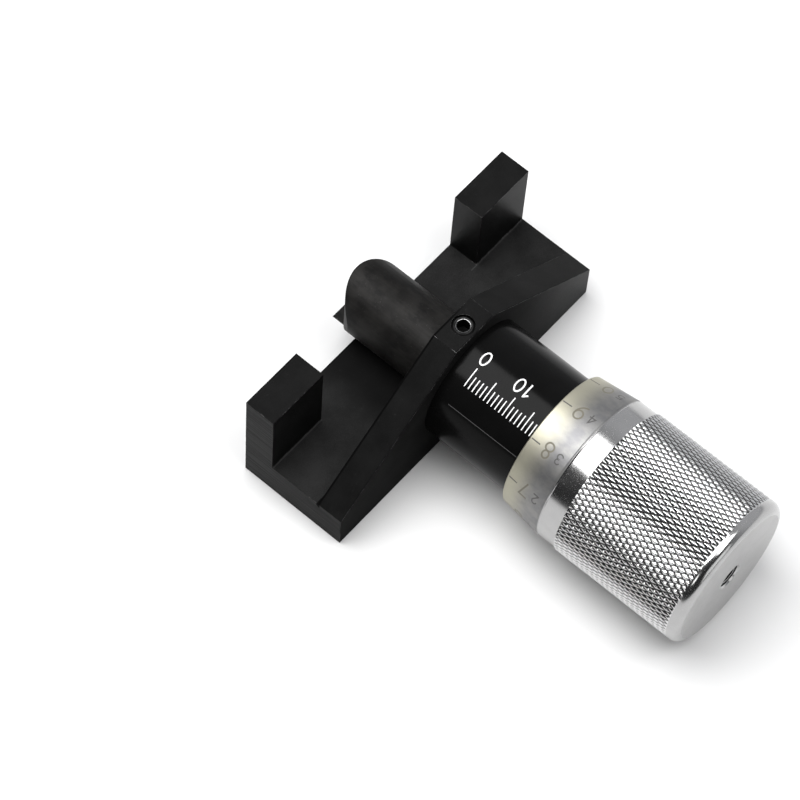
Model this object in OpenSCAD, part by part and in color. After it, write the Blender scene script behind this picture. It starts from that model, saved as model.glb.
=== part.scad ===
// Belt tension tester: slotted beam, graduated barrel, screw thimble and sprung plunger
// Millimetres, +Z up. The tool axis runs along Y: plunger nose towards +Y, thimble towards -Y
// Origin on the underside of the beam, at the middle of its length and depth

/* [Beam] */
// Length of the beam along X
beam_len = 80; // [76:1:90]
// Depth of the beam along Y
beam_depth = 26; // [25:0.5:29]
// Thickness of the base plate
plate_t = 9.5; // [8.6:0.1:9.8]
// Length of each post along X
post_len = 15.2; // [12:0.2:18]
// Thickness of each post along Y
post_t = 7.3; // [6:0.1:8]
// Height of the posts above the underside
post_h = 28.8; // [24:0.2:32]
// Thickness of the gabled wall
ridge_t = 6.2; // [5.8:0.1:7]
// Height of the gabled wall above the underside
ridge_h = 35; // [34:0.5:38]
// Length of the flat top of the gabled wall
ridge_flat = 11.6; // [9:0.2:16]

/* [Barrel] */
// Wall of the graduated barrel round its chamber
barrel_wall = 4.05; // [3.9:0.05:4.6]
// Wall of the spigot that sits in the gabled wall, round the bush
spigot_wall = 1.8; // [1.5:0.1:2.4]
// Wall of the bronze bush round the plunger
bush_wall = 1.2; // [1:0.1:1.6]

/* [Plunger] */
// Diameter of the plunger
plunger_d = 17; // [16.4:0.1:17]
// Reach of the nose tip beyond the far face of the posts
nose_reach = 5.2; // [4:0.1:6]
// Radius of the nose as seen from above
nose_r = 9.6; // [9:0.1:12]
// Reach of the belt lip beyond the far face of the posts
lip_reach = 6.3; // [6.1:0.1:7.5]
// Thickness of the belt lip
lip_t = 2.3; // [1.6:0.1:3]
// Free stroke of the plunger
stroke = 18; // [14:0.5:18]

/* [Thimble] */
// Length of the thimble
thimble_len = 46.4; // [45.4:0.1:46.4]
// Distance from the gabled wall to the front edge as it lies in the photograph
thimble_gap = 22.1; // [22.1:0.1:24]
// Wall at the front edge, outside the barrel
front_wall = 1.55; // [1.4:0.05:1.8]
// Wall of the grip, outside the thread
grip_wall = 2.55; // [2.2:0.05:2.6]
// Length of the graduated bevel
bevel_len = 10.1; // [9:0.1:11]
// Length of the plain band behind the bevel
band_len = 4.8; // [4:0.1:6]
// Radius of the rounded edge at the closed end
end_round = 2.2; // [1.6:0.1:2.4]
// Reading of the scale in the stored pose, in turns of the thimble
reading = 17.8; // [15:0.1:17.8]

/* [Spring] */
// Wire diameter of the spring
wire_d = 1.4; // [1.2:0.1:1.5]
// Number of coils
coils = 16; // [14:1:16]

/* [Fits] */
// Radial running clearance of turned surfaces
run_fit = 0.05; // [0.03:0.01:0.08]
// Clearance of surfaces that pass without guiding
free_gap = 0.3; // [0.3:0.05:0.4]

/* [Hidden] */
$fn = 96;
axis_z = ridge_h / 2;
post_far = beam_depth / 2;
post_near = post_far - post_t;
ridge_near = -beam_depth / 2;
ridge_far = ridge_near + ridge_t;
ridge_mid = (ridge_near + ridge_far) / 2;
plunger_r = plunger_d / 2;
bush_r = plunger_r + bush_wall;
spigot_r = bush_r + spigot_wall;
chamber_step = 0.5;
chamber_r = bush_r + chamber_step;
barrel_r = chamber_r + barrel_wall;

// Front bush of the plunger and the washer that stops its collar
bush_len = 18;
bush_rear = ridge_far - bush_len;
washer_t = 1.5;
washer_rear = bush_rear - washer_t;

// Plunger levels along the axis
nose_tip = post_far + nose_reach;
nose_mid = nose_tip - nose_r;
lip_end = post_far + lip_reach;
lip_top = axis_z - plunger_r + lip_t;
collar_len = 4;
collar_front = washer_rear - free_gap;
collar_rear = collar_front - collar_len;
collar_r = chamber_r - free_gap;
spring_bore_r = 6.2;
nose_solid = 14.2;
bore_end = nose_tip - nose_solid;
groove_r = plunger_r + free_gap;

// Dowel that keeps the nose upright, and its keyway in the barrel
dowel_r = 1.5;
dowel_root = 0.6;
dowel_rise = 0.9;
dowel_in = spring_bore_r + dowel_root;
dowel_out = chamber_r + dowel_rise;
dowel_y = (collar_front + collar_rear) / 2;
keyway_r = dowel_out + free_gap;
keyway_w = 2 * (dowel_r + run_fit);

// Thimble levels along the axis
thimble_front = ridge_near - thimble_gap;
thimble_rear = thimble_front - thimble_len;
bevel_rear = thimble_front - bevel_len;
band_rear = bevel_rear - band_len;
grip_rear = thimble_rear + end_round;
bevel_groove = 0.2;
lip_bore_r = barrel_r + 2 * run_fit;
front_r = lip_bore_r + front_wall;
lip_bore_len = 5;
thread_rise = 0.55;
thread_r = barrel_r + thread_rise;
thimble_bore_r = thread_r + run_fit;
grip_r = thimble_bore_r + grip_wall;
band_drop = 0.35;
band_r = grip_r - band_drop;
end_r = grip_r - end_round;
end_wall = 3.9;
blank = 1;
wall_front = thimble_rear + end_wall;
hub_r = 6;
hub_len = 6;
hub_front = wall_front + hub_len;

// Threaded ring on the rear of the barrel; plain cylinders stand for the threads
barrel_rear = wall_front + reading + free_gap;
seat_depth = 1.25;
seat_r = barrel_r - seat_depth;
ring_len = 9;
clip_t = 1.2;
clip_depth = 0.8;
clip_rise = 0.9;
clip_r = seat_r + clip_rise;
clip_land = 1.3;
clip_rear = barrel_rear + clip_land;
ring_rear = clip_rear + clip_t;
ring_front = ring_rear + ring_len;
clip_gap = 8;
ring_edge = 0.5;
key_r = 1;
key_len = 5;

// Friction ring in the bore of the thimble
oring_r = 0.58;
oring_mid_r = barrel_r + oring_r + run_fit;
oring_groove_r = oring_mid_r + oring_r;
oring_set = 3.2;
oring_y = thimble_front - oring_set;

// Screws in the thimble end, the thrust ball and the rear spring seat
zero_r = 2.75;
jam_len = 3.4;
zero_len = 6;
jam_rear = hub_front - zero_len - jam_len;
zero_rear = hub_front - zero_len;
hex_r = 1.73;
hex_depth = 2.2;
ball_r = 2.5;
ball_sink = 0.4;
ball_y = hub_front + ball_r - ball_sink;
seat_rear = ball_y + ball_r - ball_sink;
flange_t = 3;
flange_r = spring_bore_r - free_gap;
flange_front = seat_rear + flange_t;
guide_r = 3.9;
guide_spare = 1.2;
guide_lead = 1;
guide_front = bore_end - stroke - reading - guide_spare;

// Spring between the shim in the plunger and the rear seat
shim_t = 1;
shim_rear = bore_end - shim_t;
spring_mid_r = (guide_r + spring_bore_r) / 2;
spring_len = shim_rear - flange_front;
dead_coils = 1;
wire_sides = 6;
steps_per_coil = 14;

// Set screw on the gabled wall
set_r = 2.5;
set_sink = 0.2;
set_hex_r = 1.45;
set_top = ridge_h - set_sink;
set_bite = 0.5;
set_tip = axis_z + spigot_r - set_bite;

// Solid rod on the tool axis between two levels
module rod(y0, y1, r) {
    translate([0, y0, axis_z])
        rotate([-90, 0, 0])
            cylinder(h = y1 - y0, r = r);
}

// Body of revolution about the tool axis from a half section drawn as radius and level
module turned() {
    translate([0, 0, axis_z])
        rotate([-90, 0, 0])
            rotate_extrude()
                children();
}

// Hexagonal socket on the tool axis, open towards -Y
module axis_hex(y0, depth, r) {
    translate([0, y0, axis_z])
        rotate([-90, 0, 0])
            cylinder(h = depth, r = r, $fn = 6);
}

// Gabled wall: flat top and two slopes that fall to the plate at its ends
module gable() {
    half = beam_len / 2;
    flat = ridge_flat / 2;
    translate([0, ridge_far, 0])
        rotate([90, 0, 0])
            linear_extrude(ridge_t)
                polygon([[-half, 0], [half, 0], [half, plate_t], [flat, ridge_h], [-flat, ridge_h], [-half, plate_t]]);
}

module frame_body() {
    color([0.13, 0.14, 0.14])
        difference() {
            union() {
                translate([-beam_len / 2, ridge_near, 0])
                    cube([beam_len, beam_depth, plate_t]);
                gable();
                for (side = [-1, 1])
                    translate([side * (beam_len - post_len) / 2 - post_len / 2, post_near, 0])
                        cube([post_len, post_t, post_h]);
            }
            rod(ridge_near - 1, ridge_far + 1, spigot_r);
            rod(ridge_far, post_far + 1, groove_r);
            translate([0, ridge_mid, axis_z])
                cylinder(h = ridge_h, r = set_r);
        }
}

module scale_barrel() {
    color([0.03, 0.03, 0.03])
        difference() {
            union() {
                rod(ridge_near, ridge_far, spigot_r);
                rod(ring_front, ridge_near, barrel_r);
                rod(barrel_rear, ring_front, seat_r);
            }
            rod(bush_rear, ridge_far + 1, bush_r);
            rod(barrel_rear - 1, bush_rear, chamber_r);
            translate([-keyway_w / 2, barrel_rear - 1, axis_z - keyway_r])
                cube([keyway_w, washer_rear - barrel_rear + 1, keyway_r]);
            difference() {
                rod(clip_rear, ring_rear, barrel_r);
                rod(clip_rear, ring_rear, seat_r - clip_depth);
            }
            key_hole();
            translate([0, ridge_mid, set_tip])
                cylinder(h = ridge_h, r = set_r);
        }
}

// Half in the barrel and half in the ring
module key_hole() {
    translate([0, ring_rear, axis_z + seat_r])
        rotate([-90, 0, 0])
            cylinder(h = key_len, r = key_r);
}

module barrel_set_screw() {
    color([0.1, 0.1, 0.1])
        translate([0, ridge_mid, 0])
            difference() {
                translate([0, 0, set_tip])
                    cylinder(h = set_top - set_tip, r = set_r);
                translate([0, 0, set_top - hex_depth])
                    cylinder(h = hex_depth + 1, r = set_hex_r, $fn = 6);
            }
}

module guide_bush() {
    color([0.72, 0.53, 0.25])
        difference() {
            rod(bush_rear, ridge_far, bush_r);
            rod(bush_rear - 1, ridge_far + 1, plunger_r + run_fit);
        }
}

module stop_washer() {
    color([0.35, 0.2, 0.12])
        difference() {
            rod(washer_rear, bush_rear, chamber_r);
            rod(washer_rear - 1, bush_rear + 1, plunger_r + free_gap);
        }
}

// Nose as seen from above: a large round at the tip that runs into the sides
module nose_plan() {
    translate([0, nose_mid, 0])
        cylinder(h = ridge_h, r = nose_r);
    translate([-beam_len / 2, collar_rear, 0])
        cube([beam_len, nose_mid - collar_rear, ridge_h]);
}

module plunger() {
    color([0.2, 0.19, 0.17])
        difference() {
            union() {
                intersection() {
                    rod(collar_rear, nose_tip, plunger_r);
                    nose_plan();
                }
                intersection() {
                    rod(nose_mid, lip_end, plunger_r);
                    translate([-beam_len / 2, nose_mid, 0])
                        cube([beam_len, lip_end, lip_top]);
                }
                rod(collar_rear, collar_front, collar_r);
            }
            rod(collar_rear - 1, bore_end, spring_bore_r);
            dowel_pin();
        }
}

// Radial pin through the collar, pointing down
module dowel_pin() {
    translate([0, dowel_y, axis_z - dowel_out])
        cylinder(h = dowel_out - dowel_in, r = dowel_r);
}

module plunger_dowel() {
    color([0.6, 0.6, 0.62])
        dowel_pin();
}

module spring_shim() {
    color([0.55, 0.55, 0.57])
        difference() {
            rod(shim_rear, bore_end, spring_bore_r);
            rod(shim_rear - 1, bore_end + 1, guide_r);
        }
}

// Rise of the coil centre line at a turn: close-wound end coils, even pitch between
function coil_level(turn) =
    let (live = coils - 2 * dead_coils, open = spring_len - wire_d * (2 * dead_coils + 1))
    turn < dead_coils ? turn * wire_d
    : turn > coils - dead_coils ? spring_len - wire_d - (coils - turn) * wire_d
    : dead_coils * wire_d + (turn - dead_coils) * open / live;

// Ring of points round the wire at a step along the coil
function wire_ring(step) =
    let (turn = step / steps_per_coil, a = 360 * turn, level = flange_front + wire_d / 2 + coil_level(turn))
    [for (k = [0 : wire_sides - 1])
        let (b = 360 * k / wire_sides, r = spring_mid_r + wire_d / 2 * cos(b))
        [r * cos(a), level + wire_d / 2 * sin(b), axis_z + r * sin(a)]];

module main_spring() {
    steps = coils * steps_per_coil;
    points = [for (s = [0 : steps]) each wire_ring(s)];
    sides = [for (s = [0 : steps - 1], k = [0 : wire_sides - 1])
        let (a = s * wire_sides, b = a + wire_sides, n = (k + 1) % wire_sides)
        each [[a + k, b + k, b + n], [a + k, b + n, a + n]]];
    first = [[for (k = [0 : wire_sides - 1]) k]];
    last = [[for (k = [wire_sides - 1 : -1 : 0]) steps * wire_sides + k]];
    color([0.45, 0.46, 0.48])
        polyhedron(points = points, faces = concat(sides, first, last), convexity = 10);
}

module spring_seat() {
    color([0.5, 0.5, 0.52])
        difference() {
            turned()
                polygon([
                    [0, seat_rear],
                    [flange_r, seat_rear],
                    [flange_r, flange_front],
                    [guide_r, flange_front],
                    [guide_r, guide_front - guide_lead],
                    [guide_r - guide_lead, guide_front],
                    [0, guide_front]
                ]);
            translate([0, ball_y, axis_z])
                sphere(r = ball_r);
        }
}

module thrust_ball() {
    color([0.75, 0.75, 0.77])
        translate([0, ball_y, axis_z])
            sphere(r = ball_r);
}

module zero_screw() {
    color([0.12, 0.12, 0.12])
        difference() {
            rod(zero_rear, hub_front, zero_r);
            axis_hex(zero_rear - 1, hex_depth + 1, hex_r);
            translate([0, ball_y, axis_z])
                sphere(r = ball_r + run_fit);
        }
}

module jam_screw() {
    color([0.12, 0.12, 0.12])
        difference() {
            rod(jam_rear, zero_rear, zero_r);
            axis_hex(jam_rear - 1, hex_depth + 1, hex_r);
        }
}

// Outline that rounds the closed end of the thimble, drawn as radius and level
module end_outline() {
    translate([end_r, grip_rear])
        circle(r = end_round);
    translate([0, thimble_rear])
        square([end_r, thimble_len]);
    translate([0, grip_rear])
        square([grip_r, thimble_len]);
}

// Half section of the thimble; the blank is longer and wider than the grip, and the outline trims it
module thimble_section() {
    intersection() {
        polygon([
            [lip_bore_r, thimble_front],
            [front_r, thimble_front],
            [band_r, bevel_rear + bevel_groove],
            [band_r - bevel_groove, bevel_rear],
            [band_r, bevel_rear - bevel_groove],
            [band_r, band_rear],
            [grip_r + blank, band_rear],
            [grip_r + blank, thimble_rear - blank],
            [zero_r, thimble_rear - blank],
            [zero_r, hub_front],
            [hub_r, hub_front],
            [hub_r, wall_front],
            [thimble_bore_r, wall_front],
            [thimble_bore_r, thimble_front - lip_bore_len],
            [lip_bore_r, thimble_front - lip_bore_len],
            [lip_bore_r, oring_y - oring_r],
            [oring_groove_r, oring_y - oring_r],
            [oring_groove_r, oring_y + oring_r],
            [lip_bore_r, oring_y + oring_r]
        ]);
        end_outline();
    }
}

module thimble() {
    color([0.75, 0.75, 0.74])
        turned()
            thimble_section();
}

module thimble_o_ring() {
    color([0.04, 0.04, 0.04])
        translate([0, oring_y, axis_z])
            rotate([-90, 0, 0])
                rotate_extrude()
                    translate([oring_mid_r, 0])
                        circle(r = oring_r);
}

module thread_ring() {
    color([0.72, 0.53, 0.25])
        difference() {
            turned()
                polygon([
                    [seat_r, ring_rear],
                    [thread_r - ring_edge, ring_rear],
                    [thread_r, ring_rear + ring_edge],
                    [thread_r, ring_front - ring_edge],
                    [thread_r - ring_edge, ring_front],
                    [seat_r, ring_front]
                ]);
            key_hole();
        }
}

module ring_key() {
    color([0.6, 0.6, 0.62])
        key_hole();
}

// Open spring clip in its groove, with the gap at the bottom
module retaining_ring() {
    color([0.3, 0.3, 0.31])
        difference() {
            rod(clip_rear, ring_rear, clip_r);
            rod(clip_rear - 1, ring_rear + 1, seat_r - clip_depth);
            translate([-clip_gap / 2, clip_rear - 1, axis_z - clip_r - 1])
                cube([clip_gap, clip_t + 2, clip_r]);
        }
}

frame_body();
scale_barrel();
barrel_set_screw();
guide_bush();
stop_washer();
plunger();
plunger_dowel();
spring_shim();
main_spring();
spring_seat();
thrust_ball();
zero_screw();
jam_screw();
thimble();
thimble_o_ring();
thread_ring();
ring_key();
retaining_ring();
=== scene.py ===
import bpy
import bmesh
import math
import numpy as np
from mathutils import Matrix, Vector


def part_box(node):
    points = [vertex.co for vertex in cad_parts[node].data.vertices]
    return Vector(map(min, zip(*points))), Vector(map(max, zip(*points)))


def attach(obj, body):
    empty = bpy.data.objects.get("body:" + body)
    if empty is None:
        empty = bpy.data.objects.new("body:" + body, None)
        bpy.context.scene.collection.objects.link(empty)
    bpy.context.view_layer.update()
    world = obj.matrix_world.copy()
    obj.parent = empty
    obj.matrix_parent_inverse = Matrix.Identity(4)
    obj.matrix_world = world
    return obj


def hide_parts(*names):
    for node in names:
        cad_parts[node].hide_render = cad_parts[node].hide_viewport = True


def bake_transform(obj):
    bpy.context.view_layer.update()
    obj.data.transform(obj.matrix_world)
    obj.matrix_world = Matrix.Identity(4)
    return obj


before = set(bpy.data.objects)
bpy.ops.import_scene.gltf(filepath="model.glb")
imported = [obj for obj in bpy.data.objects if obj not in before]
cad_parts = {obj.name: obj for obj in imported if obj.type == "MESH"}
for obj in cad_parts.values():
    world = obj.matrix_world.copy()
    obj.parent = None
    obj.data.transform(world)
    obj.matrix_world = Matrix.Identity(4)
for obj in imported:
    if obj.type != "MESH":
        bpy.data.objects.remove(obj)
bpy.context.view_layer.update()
mm = 0.001
print("frame loaded:", len(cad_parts), "nodes")


# Lowest and highest corner of a solid in millimetres: its box over the millimetre, to a thousandth
def corners(node):
    return [[round(c / mm, 3) for c in corner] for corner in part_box(node)]


bodyLow, bodyHigh = corners("frame_body")
barrelHigh = corners("scale_barrel")[1]
thimbleLow, thimbleHigh = corners("thimble")
setLow, setHigh = corners("barrel_set_screw")
jamLow, jamHigh = corners("jam_screw")
axisZ = bodyHigh[2] / 2     # the tool axis lies at half the wall's height


# Camera as in the photograph: a long lens high over the near left corner, slightly rolled
shot = {"azimuth": -53.70, "elevation": 61.96, "roll": -5.07, "distance": 775.7, "aside": (28.60, -8.05),
        "target": (0, -32, 13.5), "focalPixels": 3781, "imagePixels": 800, "sensor": 36, "clip": (0.01, 20)}


# Rows right, up and back: back points from the target to the lens by the two angles, right lies level,
# up is their cross product, then right and up turn by the roll
def cameraAxes(azimuth, elevation, roll):
    a, e, r = np.radians([azimuth, elevation, roll])
    back = np.array([np.sin(a) * np.cos(e), -np.cos(a) * np.cos(e), np.sin(e)])
    right = np.cross([0, 0, 1], back)
    right /= np.linalg.norm(right)
    up = np.cross(back, right)
    turn = np.array([[np.cos(r), -np.sin(r), 0], [np.sin(r), np.cos(r), 0], [0, 0, 1]])
    return turn @ np.stack([right, up, back])


# Lens at the target plus the distance along back, less the shift aside; the focal length is the
# sensor's width times focal pixels over image pixels
def placeCamera(s):
    axes = cameraAxes(s["azimuth"], s["elevation"], s["roll"])
    aside = np.array([-s["aside"][0], -s["aside"][1], s["distance"]])
    data = bpy.data.cameras.new("photoLens")
    data.sensor_width = s["sensor"]
    data.lens = s["focalPixels"] / s["imagePixels"] * s["sensor"]
    data.clip_start, data.clip_end = s["clip"]
    camera = bpy.data.objects.new("photoCamera", data)
    bpy.context.scene.collection.objects.link(camera)
    pose = np.eye(4)
    pose[:3, :3] = axes.T
    pose[:3, 3] = (np.array(s["target"]) + axes.T @ aside) * mm
    camera.matrix_world = Matrix(pose.tolist())
    bpy.context.scene.camera = camera


placeCamera(shot)
print("camera placed")


# A socket that calculates: an expression on it adds the Math nodes
class Wire:
    def __init__(self, finish, socket):
        self.finish = finish
        self.socket = socket

    # another output of the same node
    def pick(self, name):
        return Wire(self.finish, self.socket.node.outputs[name])

    # one Math node on two numbers or wires
    def calc(self, operation, a, b=0.0):
        return self.finish.node("ShaderNodeMath", {"operation": operation}, {0: a, 1: b})

    def __add__(self, other):
        return self.calc("ADD", self, other)

    def __radd__(self, other):
        return self.calc("ADD", other, self)

    def __sub__(self, other):
        return self.calc("SUBTRACT", self, other)

    def __rsub__(self, other):
        return self.calc("SUBTRACT", other, self)

    def __mul__(self, other):
        return self.calc("MULTIPLY", self, other)

    def __rmul__(self, other):
        return self.calc("MULTIPLY", other, self)

    def __gt__(self, other):
        return self.calc("GREATER_THAN", self, other)

    def __lt__(self, other):
        return self.calc("LESS_THAN", self, other)

    def __abs__(self):
        return self.calc("ABSOLUTE", self)

    # 0 below low, 1 above high, smooth between
    def ramp(self, low, high):
        return self.finish.node("ShaderNodeMapRange", {"interpolation_type": "SMOOTHSTEP"},
                                {"Value": self, "From Min": low, "From Max": high})


# One material: a principled shader, the nodes that feed it and its constants by socket name
class Finish:
    def __init__(self, name, constants=None):
        self.material = bpy.data.materials.new(name)
        self.material.use_nodes = True
        self.tree = self.material.node_tree
        self.tree.nodes.clear()
        self.shader = self.tree.nodes.new("ShaderNodeBsdfPrincipled")
        output = self.tree.nodes.new("ShaderNodeOutputMaterial")
        self.tree.links.new(self.shader.outputs[0], output.inputs["Surface"])
        self.set(constants or {})

    # any node: settings first, then values or links of its sockets; gives its first output in use
    def node(self, kind, settings=None, inputs=None):
        made = self.tree.nodes.new(kind)
        for name, value in (settings or {}).items():
            setattr(made, name, value)
        for name, value in (inputs or {}).items():
            self.feed(made.inputs[name], value)
        return Wire(self, [socket for socket in made.outputs if socket.enabled][0])

    # a wire is linked to the socket, a number or colour is set on it
    def feed(self, socket, value):
        if isinstance(value, Wire):
            self.tree.links.new(value.socket, socket)
        else:
            socket.default_value = value

    # values of the shader's sockets by name
    def set(self, values):
        for name, value in values.items():
            self.feed(self.shader.inputs[name], value)

    # place on the piece in millimetres: object coordinates times a thousand
    def place(self):
        coord = self.node("ShaderNodeTexCoord").pick("Object")
        return self.node("ShaderNodeVectorMath", {"operation": "SCALE"}, {0: coord, "Scale": 1 / mm})

    # place times a factor to each axis, so that a pattern runs long where the factor is small
    def stretch(self, place, factors):
        return self.node("ShaderNodeVectorMath", {"operation": "MULTIPLY"}, {0: place, 1: factors})

    # noise of so many waves to the millimetre
    def noise(self, place, scale, detail=3.0, roughness=0.55):
        return self.node("ShaderNodeTexNoise", {}, {"Vector": place, "Scale": scale, "Detail": detail,
                                                    "Roughness": roughness})

    # noise whose waves to the millimetre differ by axis
    def streaks(self, place, factors, detail=3.0, roughness=0.55):
        return self.noise(self.stretch(place, factors), 1.0, detail, roughness)

    # dark colour where the share is 0, light where it is 1
    def blend(self, share, dark, light):
        mix = self.node("ShaderNodeMix", {"data_type": "RGBA"}, {"Factor": share, 6: dark, 7: light})
        return mix.pick(2)

    # normal tilted by the slope of a height times a distance, laid over another bump where one is given
    def bump(self, height, distance, under=None):
        inputs = {"Height": height, "Distance": distance}
        return self.node("ShaderNodeBump", {}, inputs if under is None else {**inputs, "Normal": under})

    # the three parts of a vector
    def axes(self, vector):
        split = self.node("ShaderNodeSeparateXYZ", {}, {0: vector})
        return split.pick("X"), split.pick("Y"), split.pick("Z")


# Grey of a value, with red raised and blue lowered by the warmth's share
def grey(value, warm=0.0):
    return (value * (1 + warm), value, value * (1 - warm), 1.0)


seamWeld = 2e-7     # points nearer than this are one, in metres


# Mesh of a new piece from points in millimetres and faces: doubles merged, faces turned outwards
def buildPiece(name, points, faces, skins, body, stands=None, crease=28):
    mesh = bpy.data.meshes.new(name)
    mesh.from_pydata((points * mm).tolist(), [], faces)
    shape = bmesh.new()
    shape.from_mesh(mesh)
    bmesh.ops.remove_doubles(shape, verts=shape.verts, dist=seamWeld)
    bmesh.ops.recalc_face_normals(shape, faces=shape.faces)
    shape.to_mesh(mesh)
    shape.free()
    return finishPiece(name, mesh, skins, body, stands, crease)


# Object of a finished mesh: smooth, but sharp where two faces meet at more than the crease's angle
def finishPiece(name, mesh, skins, body, stands, crease):
    mesh.shade_smooth()
    mesh.set_sharp_from_angle(angle=math.radians(crease))
    for skin in skins:
        mesh.materials.append(skin)
    piece = bpy.data.objects.new(name, mesh)
    bpy.context.scene.collection.objects.link(piece)
    if body:
        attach(piece, body)
    if stands:
        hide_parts(stands)
    return piece


# Quads of a grid of rows by columns, joined round the columns where it is a ring
def gridFaces(rows, columns, ring=True):
    last = columns if ring else columns - 1
    r, c = np.meshgrid(np.arange(rows - 1), np.arange(last), indexing="ij")
    n = (c + 1) % columns
    quads = np.stack([r * columns + c, r * columns + n, (r + 1) * columns + n, (r + 1) * columns + c], -1)
    return quads.reshape(-1, 4).tolist()


# Turned surface: each profile point of radius and level is carried round the tool axis
def turnedPoints(profile, steps):
    angle = np.arange(steps) * 2 * np.pi / steps
    radius, level = np.array(profile, float).T
    x = radius[:, None] * np.cos(angle)
    y = np.repeat(level[:, None], steps, 1)
    z = axisZ + radius[:, None] * np.sin(angle)
    return np.stack([x, y, z], -1).reshape(-1, 3)


# Angles in degrees: faces that differ by less than flat are one, edges of more than sharp are broken
edgeBreak = {"weld": 2e-6, "flat": 0.6, "sharp": 32, "segments": 2, "crease": 18}


# Copy of a solid with its sharp edges broken: points merged, flat faces joined, sharp edges bevelled by
# the width in millimetres, bevels in the second finish
def brokenEdges(node, name, width, skins, body):
    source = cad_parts[node].data
    points = np.empty(len(source.vertices) * 3, np.float32)
    source.vertices.foreach_get("co", points)
    triangles = np.empty(len(source.polygons) * 3, np.int32)
    source.polygons.foreach_get("vertices", triangles)
    mesh = bpy.data.meshes.new(name)
    mesh.from_pydata(points.reshape(-1, 3).tolist(), [], triangles.reshape(-1, 3).tolist())
    shape = bmesh.new()
    shape.from_mesh(mesh)
    bmesh.ops.remove_doubles(shape, verts=shape.verts, dist=edgeBreak["weld"])
    bmesh.ops.dissolve_limit(shape, angle_limit=math.radians(edgeBreak["flat"]), verts=shape.verts,
                             edges=shape.edges)
    least = math.radians(edgeBreak["sharp"])
    sharp = [e for e in shape.edges if len(e.link_faces) == 2 and e.calc_face_angle(0.0) > least]
    bmesh.ops.bevel(shape, geom=sharp, offset=width * mm, segments=edgeBreak["segments"], profile=0.5,
                    affect="EDGES", clamp_overlap=True, material=1)
    shape.to_mesh(mesh)
    shape.free()
    return finishPiece(name, mesh, skins, body, node, edgeBreak["crease"])


# Beam with posts and wall, black oxide on milled steel: colours, then where they lie in millimetres
bodyLook = {
    # Sides, tops and floor take their own tones: tops a little lighter and the channel floor much lighter
    # than the sides, painted light for how light falls on them
    "sideDark": grey(0.0015), "sideLight": grey(0.0050), "topDark": grey(0.0018), "topLight": grey(0.0056),
    "floorDark": grey(0.0058), "floorLight": grey(0.0150), "paintedShade": grey(0.0006), "scuff": grey(0.022),
    "millLine": grey(0.036), "edgeDark": grey(0.002), "edgeBright": grey(0.11), "gloss": 0.08,
    "lines": 0.000008, "grain": 0.000010, "edge": 0.22,     # heights of the bump in metres, edges' width
    "floorTop": 16.0, "leftEnd": bodyLow[0] + 1.0, "nearFace": bodyLow[1] + 0.2, "mattEnds": (10.0, 38.0),
    "shadowMiddle": -3.0, "shadowEnds": (9.0, 19.0),              # painted shadow about the plunger, and its distance
    "footLine": 5.5, "footEnds": (0.05, 0.22), "footMiddle": -0.9, "footFrom": 23.9,    # at the posts' feet
    "ridgeFar": barrelHigh[1], "ridgeShadeBand": 0.42, "ridgeShadeEnds": (-2.0, 6.0),     # painted shade along the wall's far edge
}


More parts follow.
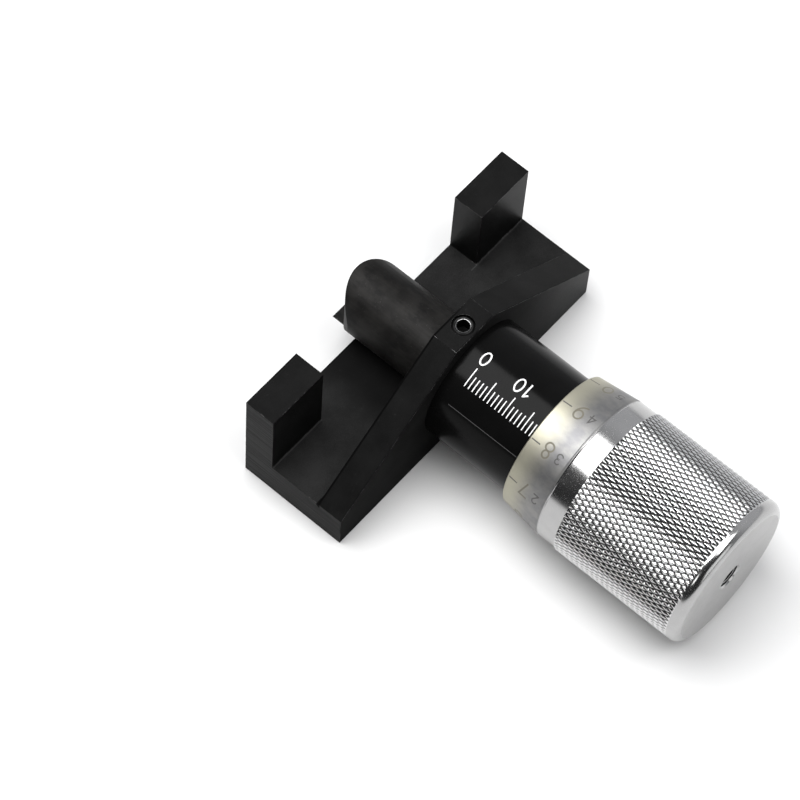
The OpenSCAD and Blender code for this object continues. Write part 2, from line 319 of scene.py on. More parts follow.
# Face: mottle and grain between a dark and a light tone that depend on where the face looks, tops a
# little lighter and the channel floor much lighter than the sides as painted light; darkened by a painted
# shadow of the plunger on the floor and by painted shade along the wall's far edge, lightened by the
# cutter's lines on the left end and at the posts' feet. Worn edge: dark steel with bright specks where
# the noise is high, and painted shade along the wall's far edge
def blackOxide(name, look, worn):
    f = Finish(name, {"Specular IOR Level": look["gloss"]})
    place = f.place()
    x, y, z = f.axes(place)
    nx, nz = f.axes(f.node("ShaderNodeNewGeometry").pick("Normal"))[::2]
    grain = f.noise(place, 5.5, 2.0, 0.6)
    endLines = f.streaks(place, (0.3, 0.05, 4.2), 2.0)
    topLines = f.streaks(place, (0.06, 3.2, 0.06), 2.0)
    onEnd = abs(nx).ramp(0.8, 0.95) * (x < look["leftEnd"])
    onTop = nz.ramp(0.35, 0.6)
    # painted shade: a dark band along the wall's far edge
    ridgeShade = (abs(y - look["ridgeFar"]) < look["ridgeShadeBand"]) * (nz > 0.05) * (1 - x.ramp(*look["ridgeShadeEnds"]))
    lines = f.bump(endLines * onEnd + topLines * onTop, look["lines"])
    f.set({"Normal": f.bump(grain, look["grain"], lines)})
    if worn:
        speck = f.noise(place, 0.42, 5.0, 0.7).ramp(0.46, 0.62) * (1 - ridgeShade * 0.8)
        # the worn edge along the wall's far edge takes the painted shade tone
        steel = f.blend(ridgeShade, look["edgeDark"], look["paintedShade"])
        f.set({"Base Color": f.blend(speck, steel, look["edgeBright"]), "Metallic": speck * 0.6,
               "Roughness": 0.46 - speck * 0.10 + ridgeShade * 0.4})
        return f.material
    onFloor = nz.ramp(0.93, 0.98) * (z < look["floorTop"])
    tone = (f.noise(place, 0.16, 4.0) * 0.5 + grain * 0.5).ramp(0.36, 0.64)
    # painted light: the tone follows where the face looks, the floor lightest
    dark = f.blend(onFloor, f.blend(onTop, look["sideDark"], look["topDark"]), look["floorDark"])
    light = f.blend(onFloor, f.blend(onTop, look["sideLight"], look["topLight"]), look["floorLight"])
    # painted shadow of the plunger on the channel floor, darkest near its middle
    paintedShade = onFloor * (1 - abs(x - look["shadowMiddle"]).ramp(*look["shadowEnds"]))
    footLine = 1 - abs(y - look["footLine"]).ramp(*look["footEnds"])
    foot = onFloor * footLine * (abs(x - look["footMiddle"]) > look["footFrom"])
    milled = onEnd * (0.35 + endLines.ramp(0.38, 0.66) * 0.60) + foot * 0.8
    shade = f.blend(paintedShade * 0.85, f.blend(tone, dark, light), look["paintedShade"])
    # painted shade along the wall's far edge
    shade = f.blend(ridgeShade, f.blend(milled, shade, look["millLine"]), look["paintedShade"])
    scuff = f.noise(place, 1.3, 5.0, 0.7).ramp(0.60, 0.76) * 0.45 * (1 - ridgeShade)
    matt = (y < look["nearFace"]) * (1 - x.ramp(*look["mattEnds"]))
    rough = 0.42 + onTop * 0.24 - onFloor * 0.12 + (matt + onEnd * 0.6) * 0.45 + paintedShade * 0.2 + ridgeShade * 0.3
    f.set({"Base Color": f.blend(scuff, shade, look["scuff"]), "Roughness": rough + (grain - 0.5) * 0.22})
    return f.material


bodySkins = [blackOxide("bodyFace", bodyLook, False), blackOxide("bodyEdge", bodyLook, True)]
brokenEdges("frame_body", "beamBody", bodyLook["edge"], bodySkins, "frame")
print("beam made")


plungerLook = {"dark": grey(0.0056, 0.05), "light": grey(0.0134, 0.05), "patch": grey(0.0035),
               "speck": grey(0.10), "gloss": 0.12, "metal": 0.25, "bump": 0.000004, "edge": 0.25}


# Oiled brown-black steel: a tone of clouds and long streaks, darker in patches, with bright specks
def plungerSteel(name, look):
    f = Finish(name, {"Specular IOR Level": look["gloss"]})
    place = f.place()
    streak = f.streaks(place, (1.9, 0.09, 1.9), 4.0, 0.6)
    cloud = f.noise(place, 0.22)
    patch = f.streaks(place, (0.42, 0.24, 0.42), 4.0, 0.65).ramp(0.50, 0.66) * 0.75
    speck = f.noise(place, 3.6, 3.0, 0.7).ramp(0.66, 0.74) * 0.55
    tone = (streak * 0.25 + cloud * 0.75).ramp(0.34, 0.66)
    steel = f.blend(patch, f.blend(tone, look["dark"], look["light"]), look["patch"])
    f.set({"Base Color": f.blend(speck, steel, look["speck"]), "Metallic": look["metal"] + speck * 0.2,
           "Roughness": 0.55 - streak * 0.06 - speck * 0.08,
           "Normal": f.bump(streak * 0.7 + f.noise(place, 6.0, 2.0) * 0.3, look["bump"])})
    return f.material


plungerSkin = plungerSteel("plungerSkin", plungerLook)
brokenEdges("plunger", "plungerBar", plungerLook["edge"], [plungerSkin] * 2, "plunger")
print("plunger made")


barrelLook = {"dark": grey(0.0022), "light": grey(0.0042), "dust": grey(0.02), "gloss": 0.06,
              "rings": 0.0000018, "edge": 0.15, "line": grey(0.075), "lineAngle": 145.0, "lineFront": -16.5,
              "lineEnds": (0.03, 0.10)}


# Gloss black with rings of the lathe, a little dust, and one fine lighter line along the left side: the
# line lies where the distance from the plane through the axis at its angle is small
def barrelGloss(name, look):
    f = Finish(name, {"Specular IOR Level": look["gloss"]})
    place = f.place()
    x, y, z = f.axes(place)
    ring = f.streaks(place, (0.04, 6.0, 0.04), 2.0)
    dust = f.noise(place, 4.0, 3.0, 0.7).ramp(0.66, 0.8)
    aim = math.radians(look["lineAngle"])
    off = abs(x * math.sin(aim) - (z - axisZ) * math.cos(aim))
    line = (1 - off.ramp(*look["lineEnds"])) * (x < 0.0) * (y < look["lineFront"])
    black = f.blend(dust * 0.4, f.blend(f.noise(place, 0.25), look["dark"], look["light"]), look["dust"])
    f.set({"Base Color": f.blend(line, black, look["line"]), "Roughness": 0.15 + ring * 0.05 + dust * 0.15,
           "Normal": f.bump(ring, look["rings"])})
    return f.material


barrelSkin = barrelGloss("barrelSkin", barrelLook)
brokenEdges("scale_barrel", "scaleBarrel", barrelLook["edge"], [barrelSkin] * 2, "frame")
print("barrel made")


# Thimble: levels along the axis, radii about it, and the knurl's teeth round, rows along and steps each
thimble = {
    "front": thimbleHigh[1], "bevelRear": thimbleHigh[1] - 10.1, "bandRear": thimbleHigh[1] - 14.9,
    "gripRear": thimbleLow[1] + 2.7, "rear": thimbleLow[1], "bored": thimbleHigh[1] - 5.0,
    "wall": jamHigh[1], "hubFront": corners("zero_screw")[1][1],
    "lip": barrelHigh[0] + 0.1, "frontRadius": 15.9, "bandRadius": 17.05, "gripRadius": thimbleHigh[0],
    "bore": 14.85, "hub": 6.0, "hole": jamHigh[0], "round": 2.2, "lipBreak": 0.25, "frontBreak": 0.18,
    "holeBreak": 0.35, "runIn": 0.15, "runOut": (0.04, 0.22),
    "fine": ((0.45, 0), (0.32, 0.06), (0.19, 0), (0.05, 0), (-0.12, 0.08), (-0.29, 0)),   # level and depth
    "teeth": 84, "rows": 11, "parts": 8, "depth": 0.34, "crown": 1.05,
}
# the groove tone is painted shade in the knurl's grooves
chromeLook = {"dark": grey(0.38), "light": grey(0.46, 0.006), "tooth": grey(0.68), "groove": grey(0.004),
              "grooveEnds": (17.06, 17.235), "satinDark": (0.19, 0.19, 0.196, 1),
              "satinLight": (0.26, 0.257, 0.25, 1), "warm": (0.45, 0.43, 0.335, 1), "turning": 0.0000016}


# Chrome: satin bevel that warms towards its front edge, mirror band and round, bright teeth over grooves
# darkened as painted shade where the radius is low, and a duller turned end face
def thimbleChrome(name, look, t):
    f = Finish(name)
    place = f.place()
    x, y, z = f.axes(place)
    onBevel = y > t["bevelRear"]
    onEnd = y < t["rear"] + 0.015
    onGrip = (y < t["bandRear"]) * (y > t["gripRear"] - 0.2)
    warm = y.ramp(t["bevelRear"] + 3.0, t["front"] - 1.0) * onBevel
    across = f.node("ShaderNodeCombineXYZ", {}, {0: x, 1: 0.0, 2: z - axisZ})
    radius = f.node("ShaderNodeVectorMath", {"operation": "LENGTH"}, {0: across}).pick("Value")
    turning = f.noise(f.node("ShaderNodeCombineXYZ", {}, {0: radius * 7.0, 1: y * 5.0, 2: 0.0}), 1.0)
    cloud = f.noise(place, 0.35, 4.0)
    smear = f.streaks(place, (0.5, 0.12, 0.5), 4.0, 0.65).ramp(0.5, 0.75)
    smoke = (f.streaks(place, (0.42, 0.25, 0.42), 4.0, 0.65) * 0.7 + cloud * 0.3).ramp(0.34, 0.66)
    pit = f.noise(place, 5.0, 2.0, 0.6).ramp(0.66, 0.74)
    plate = f.blend(onGrip, f.blend(cloud, look["dark"], look["light"]), look["tooth"])
    satin = f.blend(warm * 0.8, f.blend(smoke, look["satinDark"], look["satinLight"]), look["warm"])
    # painted shade in the knurl's grooves, dark where the radius is low
    groove = onGrip * (1 - radius.ramp(*look["grooveEnds"]))
    f.set({"Base Color": f.blend(groove, f.blend(onBevel, plate, satin), look["groove"]),
           "Metallic": 1.0 - warm * 0.12, "Normal": f.bump(turning, look["turning"]),
           "Roughness": 0.15 + onBevel * 0.30 + onEnd * 0.18 + smear * 0.05 + turning * 0.04 + pit * 0.25})
    return f.material


# Half section from the bore over the lip, the bevel and its fine grooves to the foot of the knurl
def thimbleFront(t):
    slope = (t["bandRadius"] - t["frontRadius"]) / (t["front"] - t["bevelRear"])
    lead = t["frontBreak"]
    fine = [(t["bandRadius"] - depth, t["bevelRear"] + level) for level, depth in t["fine"]]
    return [(t["bore"], t["bored"]), (t["lip"], t["bored"]), (t["lip"], t["front"] - t["lipBreak"]),
            (t["lip"] + t["lipBreak"], t["front"]), (t["frontRadius"] - lead, t["front"]),
            (t["frontRadius"] + slope * lead, t["front"] - lead)] + fine + [
            (t["bandRadius"], t["bandRear"] + t["runIn"]), (t["gripRadius"] - t["depth"], t["bandRear"])]


# Half section from the run-out of the knurl round the edge: radius and level are the arc's centre plus
# its radius times cosine and sine; then the flat, the screw hole, the hub and the bore
def thimbleEnd(t):
    a = np.radians(np.linspace(0, 90, 13))
    radius = t["gripRadius"] - t["round"] * (1 - np.cos(a))
    level = t["rear"] + t["round"] * (1 - np.sin(a))
    fall, past = t["runOut"]
    return [(t["gripRadius"] - fall, t["gripRear"] - past)] + np.stack([radius, level], 1).tolist() + [
            (t["hole"] + t["holeBreak"], t["rear"]), (t["hole"], t["rear"] + t["holeBreak"]),
            (t["hole"], t["hubFront"]), (t["hub"], t["hubFront"]), (t["hub"], t["wall"]),
            (t["bore"], t["wall"]), (t["bore"], t["bored"])]


# Knurl: two families of V grooves lie where u and v are whole numbers, the tooth's height is the lower
# of the two triangle waves, and the radius falls by the depth times a power of what is missing
def knurlRings(t):
    parts = t["parts"]
    i, j = np.meshgrid(np.arange(t["teeth"] * parts), np.arange(t["rows"] * parts + 1))
    u, v = (i + j) / parts, (i - j) / parts
    tooth = np.minimum(1 - 2 * np.abs(u % 1 - 0.5), 1 - 2 * np.abs(v % 1 - 0.5))
    radius = t["gripRadius"] - t["depth"] * (1 - tooth) ** t["crown"]
    level = t["bandRear"] + (t["gripRear"] - t["bandRear"]) * j / (t["rows"] * parts)
    angle = i * 2 * np.pi / (t["teeth"] * parts)
    return np.stack([radius * np.cos(angle), level, axisZ + radius * np.sin(angle)], -1)


# Two triangles to each cell of the knurl, split along the groove that crosses it: one way where row and
# column add up to an odd number, the other way where the sum is even
def knurlFaces(t, base):
    columns = t["teeth"] * t["parts"]
    r, c = np.meshgrid(np.arange(t["rows"] * t["parts"]), np.arange(columns), indexing="ij")
    a, b = base + r * columns + c, base + r * columns + (c + 1) % columns
    d, e = a + columns, b + columns
    odd = ((r + c) % 2 == 1)[..., None]
    first = np.where(odd, np.stack([a, b, d], -1), np.stack([a, b, e], -1))
    second = np.where(odd, np.stack([b, e, d], -1), np.stack([a, e, d], -1))
    return np.concatenate([first, second]).reshape(-1, 3).tolist()


# An edge of the knurl is sharp where both its ends lie at the grooves' depth, and smooth elsewhere
def knurlCreases(mesh, t, near=0.01):
    points = np.empty(len(mesh.vertices) * 3, np.float32)
    mesh.vertices.foreach_get("co", points)
    x, y, z = points.reshape(-1, 3).T / mm
    radius = np.hypot(x, z - axisZ)
    grip = (y < t["bandRear"] - near) & (y > t["gripRear"] - near) & (radius > t["bore"] + 1)
    low = radius < t["gripRadius"] - t["depth"] + near
    ends = np.empty(len(mesh.edges) * 2, np.int32)
    mesh.edges.foreach_get("vertices", ends)
    a, b = ends.reshape(-1, 2).T
    sharp = np.empty(len(mesh.edges), bool)
    mesh.edges.foreach_get("use_edge_sharp", sharp)
    mesh.edges.foreach_set("use_edge_sharp", np.where(grip[a] & grip[b], low[a] & low[b], sharp))


# Front, knurl and end share their columns, so each ring joins the next; the last lies on the first
def makeThimble(t):
    columns = t["teeth"] * t["parts"]
    front, end = turnedPoints(thimbleFront(t), columns), turnedPoints(thimbleEnd(t), columns)
    points = np.concatenate([front, knurlRings(t).reshape(-1, 3), end])
    rings = np.array(gridFaces(len(points) // columns, columns))
    row = rings[:, 0] // columns
    foot = len(front) // columns
    plain = rings[(row < foot) | (row >= foot + t["rows"] * t["parts"])].tolist()
    faces = plain + knurlFaces(t, len(front))
    skin = thimbleChrome("thimbleSkin", chromeLook, t)
    shell = buildPiece("thimbleShell", points, faces, [skin], "thimble", "thimble", 20)
    knurlCreases(shell.data, t)


makeThimble(thimble)
print("thimble made")


# Scales: points of an arc in a box one high, centre plus radii times cosine and sine
def arc(cx, cy, rx, ry, start, stop, count=28):
    a = np.radians(np.linspace(start, stop, count))
    return np.stack([cx + rx * np.cos(a), cy + ry * np.sin(a)], 1)


# Straight runs from point to point
def run(*pairs):
    return np.array(pairs, float)


numerals = {
    0: [arc(0.29, 0.5, 0.27, 0.5, 90, 450)],
    1: [run((0.10, 0.78), (0.33, 1.0), (0.33, 0.0))],
    2: [np.vstack([arc(0.29, 0.72, 0.26, 0.28, 165, -35), run((0.03, 0.0), (0.57, 0.0))])],
    3: [np.vstack([arc(0.28, 0.755, 0.25, 0.245, 150, -90), arc(0.28, 0.27, 0.29, 0.27, 90, -150)])],
    4: [run((0.44, 0.0), (0.44, 1.0), (0.0, 0.3), (0.6, 0.3))],
    5: [np.vstack([run((0.53, 1.0), (0.12, 1.0), (0.07, 0.55)), arc(0.28, 0.33, 0.28, 0.33, 125, -150)])],
    6: [np.vstack([arc(0.62, 0.34, 0.6, 0.66, 98, 178), arc(0.3, 0.31, 0.28, 0.31, 180, 540)])],
    7: [run((0.02, 1.0), (0.57, 1.0), (0.22, 0.0))],
    8: [arc(0.29, 0.76, 0.22, 0.24, -90, 270), arc(0.29, 0.26, 0.28, 0.26, 90, 450)],
    9: [np.vstack([arc(-0.04, 0.66, 0.6, 0.66, -82, -2), arc(0.28, 0.69, 0.28, 0.31, 0, 360)])],
}
numeralCell = 0.58     # width of a numeral to its height


# Both sides of a band of even width along a flat path, in steps: every point is pushed out along the
# mitre of its two runs, by half the width over the cosine of half their turn
def strokeSides(path, width, step=0.22, leastCosine=0.55):
    at = np.concatenate([[0], np.cumsum(np.hypot(*np.diff(path, axis=0).T))])
    fine = np.unique(np.concatenate([at, np.arange(0, at[-1], step)]))
    p = np.stack([np.interp(fine, at, path[:, 0]), np.interp(fine, at, path[:, 1])], 1)
    way = np.diff(p, axis=0)
    way /= np.maximum(np.hypot(*way.T), 1e-9)[:, None]
    ahead, behind = np.vstack([way, way[-1:]]), np.vstack([way[:1], way])
    mean = ahead + behind
    mean /= np.maximum(np.hypot(*mean.T), 1e-9)[:, None]
    mitre = 1 / np.maximum((mean * ahead).sum(1), leastCosine)
    side = np.stack([-mean[:, 1], mean[:, 0]], 1) * (width / 2 * mitre)[:, None]
    p[0] -= way[0] * width / 2
    p[-1] += way[-1] * width / 2
    return p - side, p + side


# Marks on a turned surface: the path's first number runs along the axis, its second round it, over the
# radius; each mark is a closed bar whose outer corners lie a little above the surface and whose inner
# corners lie below it
def wrapMarks(strokes, radiusAt, lift, sink=0.05):
    points, faces, base = [], [], 0
    for path, level, angle, width in strokes:
        left, right = strokeSides(path, width)
        flat = np.stack([left, right, right, left], 1)
        y = level + flat[..., 0]
        surface = radiusAt(y)
        a = np.radians(angle) + flat[..., 1] / surface
        radius = surface + [lift, lift, -sink, -sink]
        points.append(np.stack([radius * np.cos(a), y, axisZ + radius * np.sin(a)], -1).reshape(-1, 3))
        caps = [[0, 1, 2, 3], [k + 4 * len(left) - 4 for k in range(4)]]
        faces.append(np.array(gridFaces(len(left), 4) + caps) + base)
        base += 4 * len(left)
    return np.concatenate(points), np.concatenate(faces).tolist()


# Strokes of a number centred on a level and an angle: each numeral is moved on by its cell and a gap
def numeralStrokes(text, level, angle, height, width, gap):
    pitch = height * numeralCell + gap
    left = -(len(text) * pitch - gap) / 2
    return [(stroke * height + [left + place * pitch, -height / 2], level, angle, width)
            for place, letter in enumerate(text) for stroke in numerals[int(letter)]]


# Paint in scratches and engraving: the colour goes to its shade, and rougher, where noise has worn it
def scalePaint(name, colour, shade, rough):
    f = Finish(name, {"Specular IOR Level": 0.4})
    wear = f.noise(f.place(), 4.5, 4.0, 0.7).ramp(0.58, 0.75)
    f.set({"Base Color": f.blend(wear * 0.6, colour, shade), "Roughness": rough + wear * 0.15,
           "Normal": f.bump(wear, 0.000004)})
    return f.material


# Angles of the base line, of the ticks' ends and of the numbers are in degrees round the axis
barrelMarks = {"radius": barrelHigh[0], "zero": -17.3, "pitch": 1.0, "count": 26, "base": 123.5,
               "short": 113.0, "long": 106.5, "tick": 0.225, "numeral": 3.07, "numeralAt": 95.5,
               "stroke": 0.34, "gap": 0.35, "lift": 0.012}


# A tick to each millimetre from the base line, every fifth longer, and a number to every tenth; a
# tick's length is the radius times its angle
def barrelStrokes(m):
    strokes = []
    for k in range(m["count"]):
        level = m["zero"] - k * m["pitch"]
        reach = m["long"] if k % 5 == 0 else m["short"]
        drop = np.radians(reach - m["base"]) * m["radius"]
        strokes.append((run((0, 0), (0, drop)), level, m["base"], m["tick"]))
        if k % 10 == 0:
            strokes += numeralStrokes(str(k), level, m["numeralAt"], m["numeral"], m["stroke"], m["gap"])
    return strokes


# Radius of a plain cylinder at any level
def flatRadius(radius):
    return lambda y: np.full_like(y, radius)


scaleWhite = scalePaint("scaleWhite", grey(0.80), grey(0.55), 0.45)
strokes = barrelStrokes(barrelMarks)
marks, markFaces = wrapMarks(strokes, flatRadius(barrelMarks["radius"]), barrelMarks["lift"])
buildPiece("barrelScale", marks, markFaces, [scaleWhite], "frame")

# The number shown stands at an angle, the others a step on; sets are distances from the front edge
thimbleMarks = {"at": 122.5, "shown": 8, "step": 36.0, "count": 10, "lift": 0.014,
                "tickFrom": 0.5, "tickTo": 2.5, "tick": 0.26,
                "big": 3.4, "bigSet": 4.7, "bigStroke": 0.38, "bigGap": 0.3,
                "small": 2.2, "smallSet": 7.7, "smallStroke": 0.28, "smallGap": 0.2, "smallAhead": 5}


# Ten ticks round the bevel, each with a large number and a small one that is five ahead
def thimbleStrokes(m, front):
    large, small = [], []
    for k in range(m["count"]):
        angle = m["at"] - m["step"] * (k - m["shown"])
        ahead = (k + m["smallAhead"]) % m["count"]
        tick = run((0, 0), (m["tickFrom"] - m["tickTo"], 0))
        small.append((tick, front - m["tickFrom"], angle, m["tick"]))
        large += numeralStrokes(str(k), front - m["bigSet"], angle, m["big"], m["bigStroke"], m["bigGap"])
        small += numeralStrokes(str(ahead), front - m["smallSet"], angle, m["small"], m["smallStroke"],
                                m["smallGap"])
    return large, small


# Radius of the bevel at a level: the front radius plus the rise times the distance from the front
def bevelRadius(t):
    rise = (t["bandRadius"] - t["frontRadius"]) / (t["front"] - t["bevelRear"] - t["fine"][0][0])
    return lambda y: t["frontRadius"] + (t["front"] - y) * rise


scaleGrey = scalePaint("scaleGrey", (0.135, 0.125, 0.095, 1), (0.19, 0.178, 0.135, 1), 0.5)
scaleDark = scalePaint("scaleDark", grey(0.07, 0.03), grey(0.12, 0.04), 0.5)
large, small = thimbleStrokes(thimbleMarks, thimble["front"])
for name, strokes, skin in (("thimbleNumerals", large, scaleGrey), ("thimbleTicks", small, scaleDark)):
    marks, markFaces = wrapMarks(strokes, bevelRadius(thimble), thimbleMarks["lift"])
    buildPiece(name, marks, markFaces, [skin], "thimble")
print("scales made")


# Small metals: a tone of turned rings and mottle between dark and light
def turnedMetal(name, dark, light, rough, metallic, rings=5.0, gloss=0.5):
    f = Finish(name, {"Specular IOR Level": gloss, "Metallic": metallic})
    place = f.place()
    ring = f.streaks(place, (0.1, rings, 0.1))
    mottle = f.noise(place, 0.7, 4.0)
    f.set({"Base Color": f.blend((ring * 0.5 + mottle * 0.5).ramp(0.3, 0.7), dark, light),
           "Roughness": rough + (mottle - 0.5) * 0.2, "Normal": f.bump(ring, 0.000003)})
    return f.material


metals = {
    "rimSteel": turnedMetal("rimSteel", grey(0.16), grey(0.40), 0.30, 1.0),
    # near-black socket faces: painted shade in the hex recess
    "socketShade": turnedMetal("socketShade", grey(0.001), grey(0.002), 0.6, 0.0, 5.0, 0.04),
    "screwSkin": turnedMetal("screwSkin", grey(0.006), grey(0.018), 0.40, 0.5, 5.0, 0.2),
    "bronze": turnedMetal("bronze", (0.35, 0.20, 0.07, 1), (0.55, 0.35, 0.14, 1), 0.34, 1.0),
    "springSteel": turnedMetal("springSteel", grey(0.16), grey(0.30), 0.36, 1.0, 2.0),
    "brightSteel": turnedMetal("brightSteel", grey(0.45), grey(0.60), 0.28, 1.0),
    "rubber": turnedMetal("rubber", grey(0.010), grey(0.022), 0.62, 0.0, 1.0),
    "fibre": turnedMetal("fibre", (0.10, 0.045, 0.025, 1), (0.17, 0.08, 0.045, 1), 0.7, 0.0, 2.0),
}
screwSkins = [metals["screwSkin"], metals["rimSteel"], metals["socketShade"]]
print("small metals made:", len(metals))


# Both screws stand on the foot and end at the top; flat is half the hexagon's width
setScrew = {"radius": setHigh[0], "foot": setLow[2], "top": setHigh[2],
            "y": round((setLow[1] + setHigh[1]) / 2, 3),
            "flat": 1.25, "depth": 2.6, "rim": 0.12, "break": 0.5}
jamScrew = {"radius": jamHigh[0], "foot": 0.0, "top": round(jamHigh[1] - jamLow[1], 3), "front": jamHigh[1],
            "flat": 1.5, "depth": 2.2, "rim": 0.14, "break": 0.4}
socketCut = {"cone": 0.45, "bottom": 0.98, "bottomRise": 0.03, "mouth": 0.2, "lip": 0.05, "lipOut": 0.02,
             "shoulder": 0.55, "fit": 0.02, "steps": 96}


# Distance of a hexagon's corner: the flat's distance over the cosine of 30 degrees
def hexCorner(flat):
    return flat / np.cos(np.pi / 6)


# Socket screw along Z at the origin: rings of radius and level; the socket's rings follow a hexagon,
# whose radius at an angle is its flat's distance over the cosine from the flat's middle
def socketScrew(screw, cut):
    top, flat, outer = screw["top"], screw["flat"], screw["radius"] - cut["fit"]
    floor, corner, broken = top - screw["depth"], hexCorner(flat), screw["radius"] - screw["break"]
    angle = np.arange(cut["steps"]) * 2 * np.pi / cut["steps"]
    hexagon = flat / np.cos((angle + np.pi / 6) % (np.pi / 3) - np.pi / 6)
    ones = np.ones(cut["steps"])
    rings = [(0 * ones, floor - cut["cone"]), (hexagon * cut["bottom"], floor),
             (hexagon, floor + cut["bottomRise"]), (hexagon, top - cut["mouth"]),
             (ones * (corner + cut["lipOut"]), top - cut["lip"]),
             (ones * (corner + screw["rim"]), top), (ones * broken, top),
             (ones * (broken + cut["lip"]), top - cut["lip"]), (ones * outer, top - cut["shoulder"]),
             (ones * outer, screw["foot"]), (0 * ones, screw["foot"])]
    r = np.stack([ring for ring, level in rings])
    z = np.repeat(np.array([level for ring, level in rings])[:, None], cut["steps"], 1)
    points = np.stack([r * np.cos(angle), r * np.sin(angle), z], -1).reshape(-1, 3)
    return points, gridFaces(len(rings), cut["steps"])


# Faces nearer the screw's axis than the rim are the socket, near-black as painted shade, and the slanted
# ring at the top is the worn rim: distances are taken across the axis, and along it from the top
def wearRim(piece, screw, cut, top, axes, thick=0.12):
    middles = np.empty(len(piece.data.polygons) * 3, np.float32)
    piece.data.polygons.foreach_get("center", middles)
    away = middles.reshape(-1, 3) / mm - top
    reach = np.linalg.norm(away[:, axes[:2]], axis=1)
    inner, outer = hexCorner(screw["flat"]) + cut["lipOut"], hexCorner(screw["flat"]) + screw["rim"]
    rim = (reach > inner) & (reach < outer) & (np.abs(away[:, axes[2]]) < thick)
    piece.data.polygons.foreach_set("material_index", np.where(reach < inner, 2, rim).astype(np.int32))


points, faces = socketScrew(setScrew, socketCut)
points = points + [0, setScrew["y"], 0]
piece = buildPiece("wallSetScrew", points, faces, screwSkins, "frame", "barrel_set_screw")
wearRim(piece, setScrew, socketCut, (0, setScrew["y"], setScrew["top"]), (0, 1, 2))

points, faces = socketScrew(jamScrew, socketCut)
points = np.stack([points[:, 0], jamScrew["front"] - points[:, 2], axisZ + points[:, 1]], 1)
piece = buildPiece("endJamScrew", points, faces, screwSkins, "thimble", "jam_screw")
wearRim(piece, jamScrew, socketCut, (0, jamScrew["front"] - jamScrew["top"], axisZ), (0, 2, 1))
print("screws made")


# Spring between the seat's flange and the shim, in two halves
spring = {"rear": corners("spring_seat")[0][1] + 3.0, "front": corners("spring_shim")[0][1], "wire": 1.4,
          "outer": corners("main_spring")[1][0], "coils": 16, "perCoil": 40, "sides": 10}


# A round wire on a helix: its level rises with the turn, by one wire's width over the first and the
# last coil, and its circle of points is carried along
def springHalf(s, start, stop):
    turn = np.linspace(start, stop, int((stop - start) * s["perCoil"]) + 1)
    length = s["front"] - s["rear"]
    rise = np.interp(turn, [0, 1, s["coils"] - 1, s["coils"]],
                     [0, s["wire"], length - 2 * s["wire"], length - s["wire"]])
    level = rise + s["rear"] + s["wire"] / 2
    around = np.arange(s["sides"]) * 2 * np.pi / s["sides"]
    a = 2 * np.pi * turn[:, None]
    r = s["outer"] - s["wire"] / 2 + s["wire"] / 2 * np.cos(around)
    y = level[:, None] + s["wire"] / 2 * np.sin(around)
    points = np.stack([r * np.cos(a), y, axisZ + r * np.sin(a)], -1).reshape(-1, 3)
    caps = [list(range(s["sides"])), list(range(len(points) - s["sides"], len(points)))]
    return points, gridFaces(len(turn), s["sides"]) + caps


half = spring["coils"] / 2
middle = (spring["front"] + spring["rear"]) / 2
for name, coils, ends, levels in (
        ("springRear", (0, half), ("frame", "carrier"), (middle, spring["rear"])),
        ("springFront", (half, spring["coils"]), ("plunger", "frame"), (spring["front"], middle))):
    points, faces = springHalf(spring, *coils)
    coil = buildPiece(name, points, faces, [metals["springSteel"]], None, None, 50)
    near, far = [(0, level * mm, axisZ * mm) for level in levels]
    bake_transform(coil)
    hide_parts("main_spring")
print("spring made")


# Inner pieces keep their solids and take a finish of their own
innerSkins = {"guide_bush": "bronze", "stop_washer": "fibre", "plunger_dowel": "brightSteel",
              "spring_shim": "brightSteel", "spring_seat": "brightSteel", "thrust_ball": "brightSteel",
              "zero_screw": "screwSkin", "thimble_o_ring": "rubber", "thread_ring": "bronze",
              "ring_key": "brightSteel", "retaining_ring": "springSteel"}
for node, skin in innerSkins.items():
    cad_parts[node].data.materials.clear()
    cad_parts[node].data.materials.append(metals[skin])
print("inner finishes set:", len(innerSkins))


# Pale floor, wide enough for every view; its drop keeps it just under the part, in metres
stageLook = {"half": 3.0, "grid": 24, "drop": -0.0002, "tone": grey(0.72), "shade": grey(0.69),
             "gloss": 0.2}


# A level square grid of points at the drop, with a faint cloud in its tone
def makeFloor(s):
    line = np.linspace(-s["half"], s["half"], s["grid"])
    x, y = np.meshgrid(line, line)
    points = np.stack([x, y, np.full_like(x, s["drop"])], -1).reshape(-1, 3)
    mesh = bpy.data.meshes.new("paleFloor")
    mesh.from_pydata(points.tolist(), [], gridFaces(s["grid"], s["grid"], False))
    f = Finish("floorPaper", {"Specular IOR Level": s["gloss"]})
    cloud = f.noise(f.place(), 0.006)
    f.set({"Base Color": f.blend(cloud, s["shade"], s["tone"]), "Roughness": 0.75 + cloud * 0.1})
    mesh.materials.append(f.material)
    floor = bpy.data.objects.new("paleFloor", mesh)
    bpy.context.scene.collection.objects.link(floor)


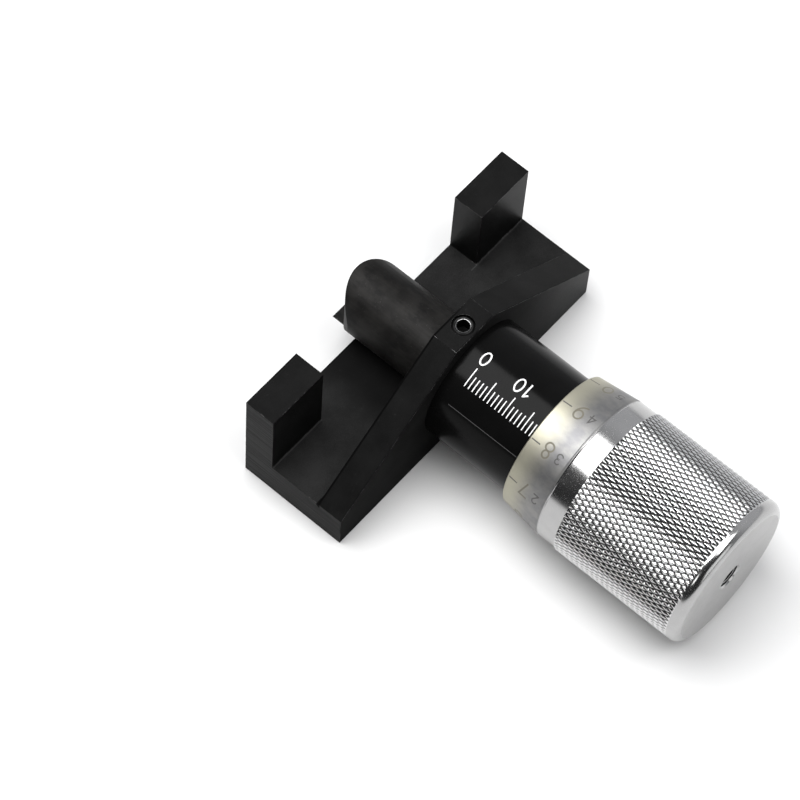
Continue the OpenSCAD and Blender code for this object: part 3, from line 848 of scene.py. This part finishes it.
# Soft light from large panels: place, aim and size in metres
lamps = {
    "topPanel": {"at": (-0.13, 0.27, 0.89), "to": (0, -0.03, 0.01), "size": (0.75, 0.8), "power": 13.0},
    "nearCard": {"at": (-0.10, -0.98, 0.32), "to": (0, -0.06, 0.02), "size": (0.70, 0.46), "power": 1.3},
    "closePanel": {"at": (0.12, -0.42, 0.95), "to": (0, -0.05, 0.02), "size": (0.6, 0.5), "power": 4.5},
    "leftPanel": {"at": (-1.05, -0.10, 0.75), "to": (0, -0.03, 0.02), "size": (0.3, 0.3), "power": 1.0},
}


# A panel looks from its place to its aim: back is the line between them, right lies level
def makeLamp(name, lamp):
    data = bpy.data.lights.new(name, "AREA")
    data.shape = "RECTANGLE"
    data.size, data.size_y = lamp["size"]
    data.energy = lamp["power"]
    made = bpy.data.objects.new(name, data)
    bpy.context.scene.collection.objects.link(made)
    back = np.array(lamp["at"]) - np.array(lamp["to"])
    back /= np.linalg.norm(back)
    right = np.cross([0, 0.01, 1], back)
    right /= np.linalg.norm(right)
    pose = np.eye(4)
    pose[:3, :3] = np.stack([right, np.cross(back, right), back], 1)
    pose[:3, 3] = lamp["at"]
    made.matrix_world = Matrix(pose.tolist())


# Dark studio that brightens towards the right wall
studio = {"tint": (0.96, 0.97, 1.0, 1), "From Min": 0.05, "From Max": 0.75, "To Min": 0.04, "To Max": 0.70}


# Strength of the background rises smoothly with the X part of the direction
def lightStudio(s):
    sky = bpy.data.worlds.new("studio")
    sky.use_nodes = True
    wall = sky.node_tree.nodes
    way = wall.new("ShaderNodeTexCoord")
    split = wall.new("ShaderNodeSeparateXYZ")
    rise = wall.new("ShaderNodeMapRange")
    rise.interpolation_type = "SMOOTHSTEP"
    for socket in ("From Min", "From Max", "To Min", "To Max"):
        rise.inputs[socket].default_value = s[socket]
    wall["Background"].inputs["Color"].default_value = s["tint"]
    for a, b in ((way.outputs["Generated"], split.inputs[0]), (split.outputs["X"], rise.inputs["Value"]),
                 (rise.outputs[0], wall["Background"].inputs["Strength"])):
        sky.node_tree.links.new(a, b)
    bpy.context.scene.world = sky


makeFloor(stageLook)
for name, lamp in lamps.items():
    makeLamp(name, lamp)
lightStudio(studio)
bpy.context.scene.view_settings.view_transform = "Standard"
print("stage lit")
